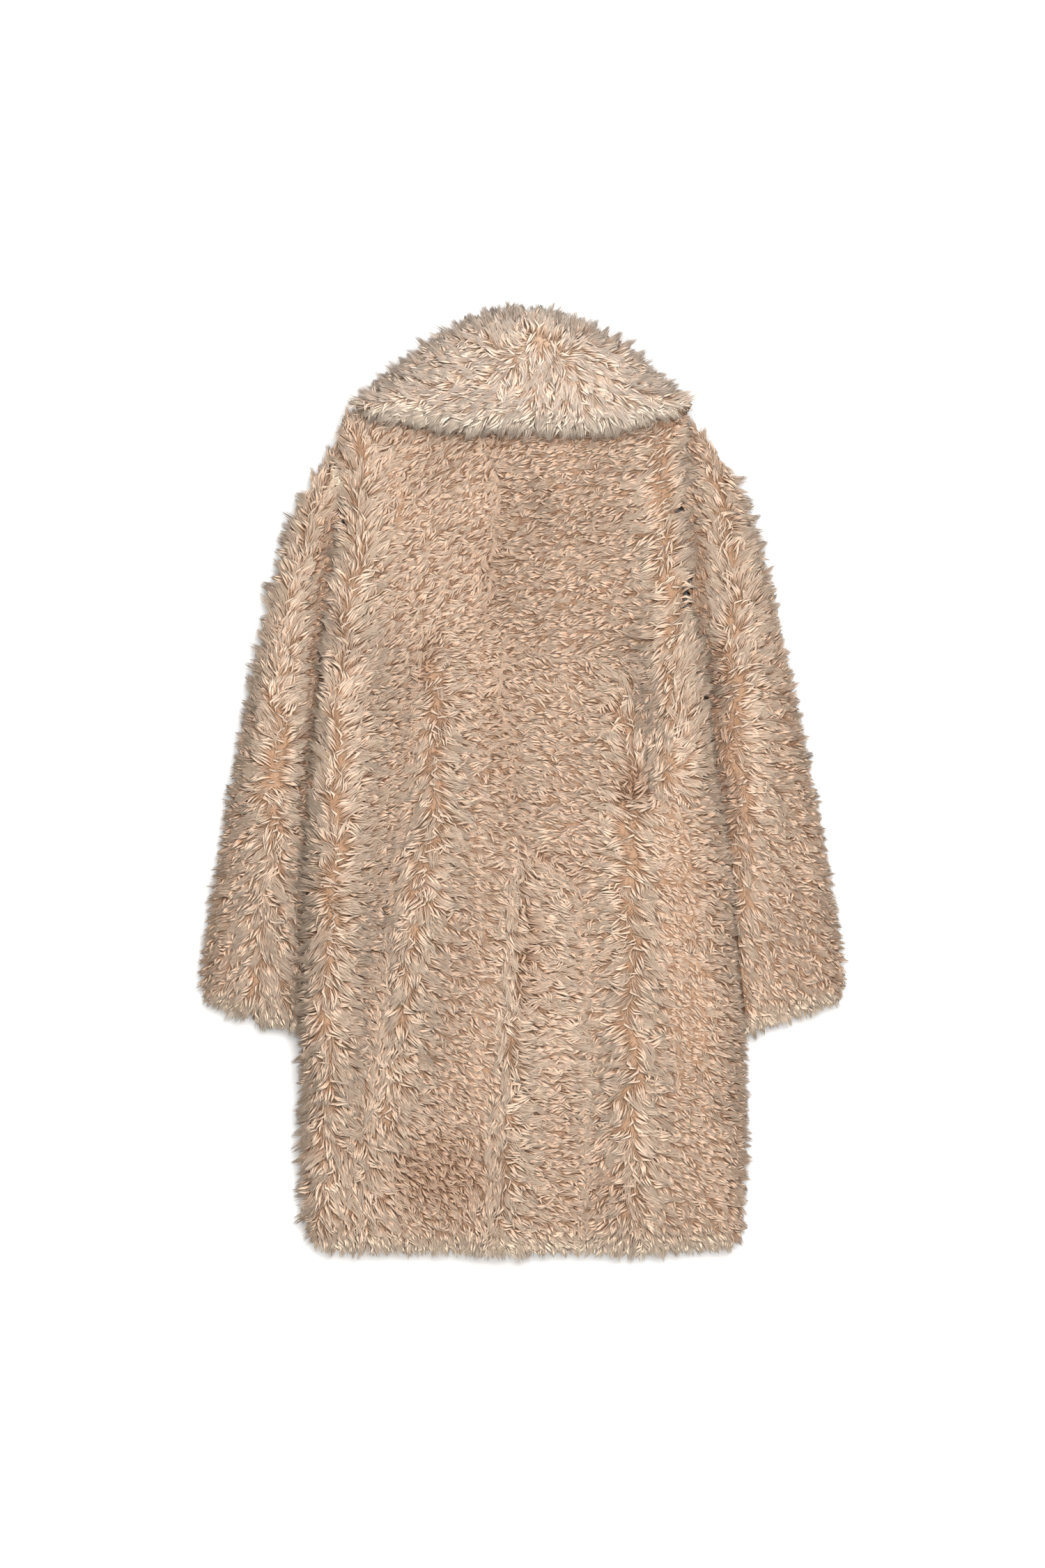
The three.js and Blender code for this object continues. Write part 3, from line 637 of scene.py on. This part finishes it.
def growFur(panel, form, space):
    length, longer, lifted, gather = furs[panel][2:]
    roots, normals = rootsOn(panel, space)
    count = len(roots)
    flow, crest, upright, edgeHighlight, foot, nearEdge = combed(panel, roots)
    # On the walls it is shorter, and stands off higher up and hangs over the foot of the wall
    wall = 1 - smooth(*locks["wallTurn"], normals[:, 2])
    off = locks["standOff"] * smooth(*locks["hangsBelow"], roots[:, 2])
    normals = normalised(normals + np.outer(off, [0, 0, 1.0]))
    # Walls get none of the painted highlight of the edges
    edgeHighlight = edgeHighlight * (1 - wall)
    vary = draw.normal(0, 1, (count, 4))
    shorter, lifts = locks["shorter"], locks["lifts"]
    length = (length + longer * crest) * (1 - shorter["upright"] * upright)
    length = length * (1 - shorter["foot"] * foot)
    length *= (1 + locks["uneven"] * vary[:, 0]) * (1 - shorter["wall"] * wall) * reaches[form]
    lift = lifted + lifts["upright"] * upright + lifts["uneven"] * vary[:, 1] + lifts.get(form, 0)
    # Gathered in clumps, each with a turn and a curl of its own
    heads = spaced(roots + draw.uniform(0, 9, 3), locks["clump"])
    heads = heads[draw.random(len(heads)) > locks["fewerAtCrests"] * crest[heads]]
    tree = KDTree(len(heads))
    for i, head in enumerate(heads):
        tree.insert(roots[head], i)
    tree.balance()
    strayed = roots + draw.normal(0, locks["strays"], (count, 3))
    clump = np.array([tree.find(place)[1] for place in strayed])
    turn = draw.normal(0, locks["clumpTurn"], len(heads))[clump]
    curl = draw.normal(0, locks["curl"], len(heads))[clump]
    shade = draw.random(len(heads))[clump]
    head = heads[clump]
    ownTurn, ownCurl = turn + locks["turn"] * vary[:, 2], curl * (1 + locks["ownCurl"] * vary[:, 3])
    middle, tip = lockLine(roots, normals, turned(flow, ownTurn), ownCurl, lift, length)
    headMiddle, headTip = lockLine(roots[head], normals[head], turned(flow[head], turn), curl,
                                   lift[head], length[head] * locks["clumpLonger"])
    least, more = locks["gathers"]
    gathered = gather * (least + more * draw.random(count))[:, None]
    middle += (headMiddle - middle) * gathered * locks["middleGathers"]
    tip += (headTip - tip) * gathered
    least, more = locks["widthVaries"]
    slim = 1 - locks["slimAtEdges"] * nearEdge
    width = widths[form] * ((least + more * draw.random(count)) * slim)[:, None]
    base = roots - normals * locks["sunk"]
    side = normalised(np.cross(tip - base, normals))
    over = normalised(np.cross(side, tip - base))
    corners = shapes[form]["corners"]
    rows = np.empty((count, len(corners), 3))
    for i, (along, across, above) in enumerate(corners):
        centre = {0: base, 0.5: middle, 1: tip}[along]
        rows[:, i] = centre + side * width * across + over * width * above
    rows[:, :, 2] = np.maximum(rows[:, :, 2], locks["floor"])
    number = len(corners)
    lock = np.empty((count, number, 3))
    lock[:, :, 0] = 0.5 + np.array([c[1] for c in corners]) + 2 * draw.integers(0, 900, count)[:, None]
    lock[:, :, 1] = [c[0] for c in corners]
    lock[:, :, 2] = draw.random(count)[:, None]
    each = lambda *columns: np.stack(columns, -1)[:, None].repeat(number, 1)
    # Painted shade where the fur stands upright, at the shaded foot of a panel above, and on the walls
    paintedShade = np.maximum(np.maximum(upright, locks["footShade"] * foot), locks["wallShade"] * wall)
    values = {
        "lock": lock,
        "paintedLightShares": each(crest, paintedShade, edgeHighlight),
        "clump": each(shade, shade, shade),
        "cloth": normalised(normals + [0, 0, locks["litFromAbove"]])[:, None].repeat(number, 1),
    }
    return meshOfLocks(f"{form}_{panel}", rows, np.array(shapes[form]["faces"]), values)


# One mesh of many alike closed forms, with its values at each point and a map with a cell for each
def meshOfLocks(piece, rows, faces, values):
    count, number = rows.shape[:2]
    corners = (faces[None] + (np.arange(count) * number)[:, None, None]).reshape(-1)
    mesh = bpy.data.meshes.new(piece)
    mesh.vertices.add(count * number)
    mesh.vertices.foreach_set("co", (rows * mm).astype(np.float32).ravel())
    mesh.loops.add(len(corners))
    mesh.loops.foreach_set("vertex_index", corners.astype(np.int32))
    mesh.polygons.add(len(corners) // 3)
    mesh.polygons.foreach_set("loop_start", np.arange(0, len(corners), 3, dtype=np.int32))
    mesh.update(calc_edges=True)
    mesh.polygons.foreach_set("use_smooth", np.ones(len(corners) // 3, bool))
    for name, vectors in values.items():
        layer = mesh.attributes.new(name, "FLOAT_VECTOR", "POINT")
        layer.data.foreach_set("vector", vectors.astype(np.float32).ravel())
    perRow = math.ceil(math.sqrt(count))
    cell = np.column_stack([np.arange(count) % perRow, np.arange(count) // perRow])[:, None]
    lock = values["lock"]
    inCell = np.stack([0.1 + 0.8 * (lock[:, :, 0] % 2), 0.08 + 0.84 * lock[:, :, 1]], -1)
    places = ((cell + inCell) / perRow).reshape(-1, 2)
    mesh.uv_layers.new(name="OFBake").data.foreach_set("uv", places[corners].astype(np.float32).ravel())
    obj = bpy.data.objects.new(piece, mesh)
    bpy.context.scene.collection.objects.link(obj)
    return obj


def treeOf(objects):
    points, faces = [], []
    for obj in objects:
        start = len(points)
        points += [v.co for v in obj.data.vertices]
        faces += [[start + i for i in f.vertices] for f in obj.data.polygons]
    return BVHTree.FromPolygons(points, faces)


clothTree = treeOf(shells.values())
places, ways = rimsOf["collar"]
overBack = {"faces": -0.2, "above": 34}
lowerEdge = (ways[:, 1] < overBack["faces"]) & (places[:, 2] > overBack["above"])
collarRims = places[lowerEdge], ways[lowerEdge]
furPieces = {}
for panel, row in furs.items():
    furPieces[panel] = [growFur(panel, form, space) for form, space in zip(("fur", "hair"), row)]
    print("fur on", panel, *[len(piece.data.polygons) for piece in furPieces[panel]], "triangles")
print("in all", sum(len(o.data.polygons) for pair in furPieces.values() for o in pair),
      "and the cloth", sum(len(o.data.polygons) for o in shells.values()))


# Finishes
def colour(red, green, blue):
    linear = [c / 12.92 if c <= 0.04045 else ((c + 0.055) / 1.055) ** 2.4
              for c in (red / 255, green / 255, blue / 255)]
    return (*linear, 1)


# Short ways to add shader nodes to one material
class Nodes:
    def __init__(self, name):
        self.material = bpy.data.materials.new(name)
        self.material.use_nodes = True
        self.tree = self.material.node_tree
        self.surface = self.tree.nodes["Principled BSDF"]

    def add(self, kind, inputs=None, **settings):
        node = self.tree.nodes.new("ShaderNode" + kind)
        for key, value in settings.items():
            setattr(node, key, value)
        for socket, value in (inputs or {}).items():
            if isinstance(value, bpy.types.NodeSocket):
                self.tree.links.new(value, node.inputs[socket])
            else:
                node.inputs[socket].default_value = value
        return node

    def split(self, attribute):
        read = self.add("Attribute", attribute_name=attribute)
        return self.add("SeparateXYZ", {0: read.outputs["Vector"]}).outputs

    def math(self, operation, *values):
        return self.add("Math", dict(enumerate(values)), operation=operation).outputs[0]

    def ranged(self, value, low, high, toLow, toHigh):
        inputs = {0: value, 1: low, 2: high, 3: toLow, 4: toHigh}
        return self.add("MapRange", inputs, interpolation_type="SMOOTHSTEP").outputs[0]

    def ramp(self, value, *stops):
        node = self.add("ValToRGB", {0: value})
        elements = node.color_ramp.elements
        while len(elements) < len(stops):
            elements.new(0.5)
        for element, (place, shade) in zip(elements, stops):
            element.position = place
            element.color = colour(*shade)
        return node.outputs[0]

    def mix(self, factor, first, second, blend="MIX"):
        node = self.add("Mix", data_type="RGBA", blend_type=blend)
        for socket, value in ((0, factor), (6, first), (7, second)):
            if isinstance(value, bpy.types.NodeSocket):
                self.tree.links.new(value, node.inputs[socket])
            else:
                node.inputs[socket].default_value = value
        return node.outputs[2]


furLook = {
    # Where the ramps turn, and how much of the painted highlight of crests, the painted shade and the
    # painted highlight of edges goes in
    "lowAt": 0.35, "middleAt": 0.68, "highlightAt": 0.45, "shadeAt": 0.5,
    "crestHighlightShare": 0.75, "edgeHighlightShare": 0.85, "shadeRange": (0.1, 0.9, 0, 0.85),
    "fibre": (2.2, 1.1, 40),  # fineness across a lock, along it and from one to the next
    "fibreDetail": 2.0, "fibreRoughness": 0.6, "patches": 14.0,
    # how far each noise darkens and brightens: read from, to, darkest, brightest
    "fibreTone": (0.3, 0.7, 0.84, 1.1), "lockTone": (0, 1, 0.92, 1.06),
    "clumpTone": (0, 1, 0.93, 1.05), "patchTone": (0.3, 0.7, 0.95, 1.05),
    "softness": 0.75, "bump": 0.25, "bumpDepth": 0.0005,
    "surface": {"Roughness": 0.75, "Specular IOR Level": 0.03, "Sheen Weight": 0.1,
                "Sheen Roughness": 0.6, "Sheen Tint": colour(255, 222, 188)},
}


# Fur: darker towards its roots as painted shade deep in the pile and pale at its tips, with a painted
# highlight on crests that goes golden down in the partings, painted shade in valleys, and a painted
# highlight along free edges
def furMaterial(name, shades):
    n = Nodes(name)
    across, along, tone = n.split("lock")
    # Shares of painted light: the highlight of a crest, painted shade, and the highlight of an edge
    crest, upright, edgeHighlight = n.split("paintedLightShares")
    clump = n.split("clump")[0]
    look = furLook
    # The root end of each ramp is darker as painted shade deep in the pile; over it go the painted
    # highlight of crests, the painted shade and the painted highlight of the edges
    base = n.ramp(along, (0, shades["root"]), (look["lowAt"], shades["low"]),
                  (look["middleAt"], shades["middle"]), (1, shades["tip"]))
    paintedHighlight = n.ramp(along, (0, shades["crackHighlight"]), (look["highlightAt"], shades["middle"]), (1, shades["crest"]))
    paintedShade = n.ramp(along, (0, shades["deepShade"]), (look["shadeAt"], shades["valleyShade"]), (1, shades["middle"]))
    base = n.mix(n.math("MULTIPLY", crest, look["crestHighlightShare"]), base, paintedHighlight)
    base = n.mix(n.ranged(upright, *look["shadeRange"]), base, paintedShade)
    base = n.mix(n.math("MULTIPLY", edgeHighlight, look["edgeHighlightShare"]), base, colour(*shades["edgeHighlight"]))
    finely = [n.math("MULTIPLY", value, share)
              for value, share in zip((across, along, tone), look["fibre"])]
    strand = n.add("CombineXYZ", dict(enumerate(finely))).outputs[0]
    fine = n.add("TexNoise", {"Vector": strand, "Scale": 1.0, "Detail": look["fibreDetail"],
                              "Roughness": look["fibreRoughness"]}).outputs[0]
    place = n.add("TexCoord").outputs["Object"]
    large = n.add("TexNoise", {"Vector": place, "Scale": look["patches"], "Detail": 1.0}).outputs[0]
    light = n.math("MULTIPLY", n.ranged(fine, *look["fibreTone"]), n.ranged(tone, *look["lockTone"]))
    light = n.math("MULTIPLY", light, n.ranged(clump, *look["clumpTone"]))
    light = n.math("MULTIPLY", light, n.ranged(large, *look["patchTone"]))
    grey = n.add("CombineColor", {0: light, 1: light, 2: light}).outputs[0]
    shade = n.mix(1.0, base, grey, "MULTIPLY")
    n.tree.links.new(shade, n.surface.inputs["Base Color"])
    # Loose fibre scatters the light, so a lock is lit partly as the cloth under it would be
    cloth = n.add("Attribute", attribute_name="cloth").outputs["Vector"]
    facing = n.add("NewGeometry").outputs["Normal"]
    mixed = n.add("Mix", {0: look["softness"], 4: facing, 5: cloth}, data_type="VECTOR").outputs[1]
    soft = n.add("VectorMath", {0: mixed}, operation="NORMALIZE").outputs[0]
    bump = n.add("Bump", {"Height": fine, "Strength": look["bump"], "Distance": look["bumpDepth"],
                          "Normal": soft})
    n.tree.links.new(bump.outputs[0], n.surface.inputs["Normal"])
    for socket, value in look["surface"].items():
        n.surface.inputs[socket].default_value = value
    return n.material


clothLook = {
    "brushed": (900.0, 160.0, 160.0), "detail": 3.0, "roughness": 0.65, "patches": 22.0,
    "patchDetail": 2.0, "shares": (0.7, 0.3), "darkAt": 0.3, "paleAt": 0.68,
    "bump": 0.7, "bumpDepth": 0.0015, "surface": {"Roughness": 0.9, "Specular IOR Level": 0.02},
}


# The cloth under it and the side it lies on: short pressed fur, brushed down the coat
def clothMaterial(name, dark, pale):
    n = Nodes(name)
    place = n.add("TexCoord").outputs["Object"]
    look = clothLook
    drawn = n.add("Mapping", {"Vector": place, "Scale": look["brushed"]}).outputs[0]
    fine = n.add("TexNoise", {"Vector": drawn, "Scale": 1.0, "Detail": look["detail"],
                              "Roughness": look["roughness"]}).outputs[0]
    large = n.add("TexNoise", {"Vector": place, "Scale": look["patches"],
                               "Detail": look["patchDetail"]}).outputs[0]
    ofFine, ofLarge = look["shares"]
    value = n.math("ADD", n.math("MULTIPLY", fine, ofFine), n.math("MULTIPLY", large, ofLarge))
    shade = n.ramp(value, (look["darkAt"], dark), (look["paleAt"], pale))
    n.tree.links.new(shade, n.surface.inputs["Base Color"])
    bump = n.add("Bump", {"Height": fine, "Strength": look["bump"], "Distance": look["bumpDepth"]})
    n.tree.links.new(bump.outputs[0], n.surface.inputs["Normal"])
    for socket, value in look["surface"].items():
        n.surface.inputs[socket].default_value = value
    return n.material


# In both sets the root and low colours are darker as painted shade deep in the pile; the crack and crest
# colours are the painted highlight on crests, the deep and valley colours the painted shade, and the last
# the painted highlight along free edges
tanShades = {
    "root": (154, 114, 90), "low": (179, 145, 120), "middle": (204, 177, 155), "tip": (222, 202, 183),
    "crackHighlight": (190, 142, 102), "crest": (232, 213, 192), "deepShade": (128, 90, 66), "valleyShade": (168, 134, 110),
    "edgeHighlight": (243, 222, 198),
}
creamShades = {
    "root": (176, 136, 108), "low": (198, 165, 140), "middle": (217, 194, 175), "tip": (231, 215, 200),
    "crackHighlight": (206, 168, 136), "crest": (240, 228, 214), "deepShade": (170, 138, 114), "valleyShade": (200, 174, 152),
    "edgeHighlight": (245, 227, 207),
}
tanFur = furMaterial("tan_fur", tanShades)
creamFur = furMaterial("cream_fur", creamShades)
tanCloth = clothMaterial("tan_cloth", (144, 110, 86), (186, 154, 128))
creamCloth = clothMaterial("cream_cloth", (170, 138, 112), (208, 182, 158))

for node, shell in shells.items():
    cream = node.startswith("collar")
    shell.data.materials.clear()
    shell.data.materials.append(creamCloth if cream else tanCloth)
    shell.data.polygons.foreach_set("use_smooth", np.ones(len(shell.data.polygons), bool))
    for piece in furPieces[node]:
        piece.data.materials.append(creamFur if cream else tanFur)
    for obj in (shell, *furPieces[node]):
        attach(obj, "root")
    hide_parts(node)
print("cloth and fur finished")

# The floor, the light and the camera straight above
stage = {"floorSize": 40, "floorShade": (0.86, 0.86, 0.86, 1), "sky": (1, 0.965, 0.92, 1), "skyLight": 0.75}
bpy.ops.mesh.primitive_plane_add(size=stage["floorSize"])
floor = bpy.context.object
floor.name = "floor"
white = Nodes("floor")
white.surface.inputs["Base Color"].default_value = stage["floorShade"]
white.surface.inputs["Roughness"].default_value = 1
white.surface.inputs["Specular IOR Level"].default_value = 0
floor.data.materials.append(white.material)

scene = bpy.context.scene
scene.world = bpy.data.worlds.new("world")
scene.world.use_nodes = True
sky = scene.world.node_tree.nodes["Background"]
sky.inputs["Color"].default_value = stage["sky"]
sky.inputs["Strength"].default_value = stage["skyLight"]
scene.view_settings.view_transform = "Standard"

lights = {
    # name: place, size, watts
    "key": ((0.35, 1.1, 4.3), 2.0, 192),
    "fill": ((0.6, -2.0, 3.2), 3.0, 48),
}
for name, (place, size, watts) in lights.items():
    bpy.ops.object.light_add(type="AREA", location=place)
    lamp = bpy.context.object
    lamp.name = name
    lamp.data.size = size
    lamp.data.energy = watts
    lamp.rotation_euler = (Vector((0, 0, 0)) - Vector(place)).to_track_quat("-Z", "Y").to_euler()

view = {"place": (-0.0004, -0.0012, 11.484), "lens": 250, "sensor": 36, "farthest": 100}
bpy.ops.object.camera_add(location=view["place"], rotation=(0, 0, 0))
camera = bpy.context.object
camera.data.lens = view["lens"]
camera.data.sensor_fit = "VERTICAL"
camera.data.sensor_height = view["sensor"]
camera.data.clip_end = view["farthest"]
scene.camera = camera
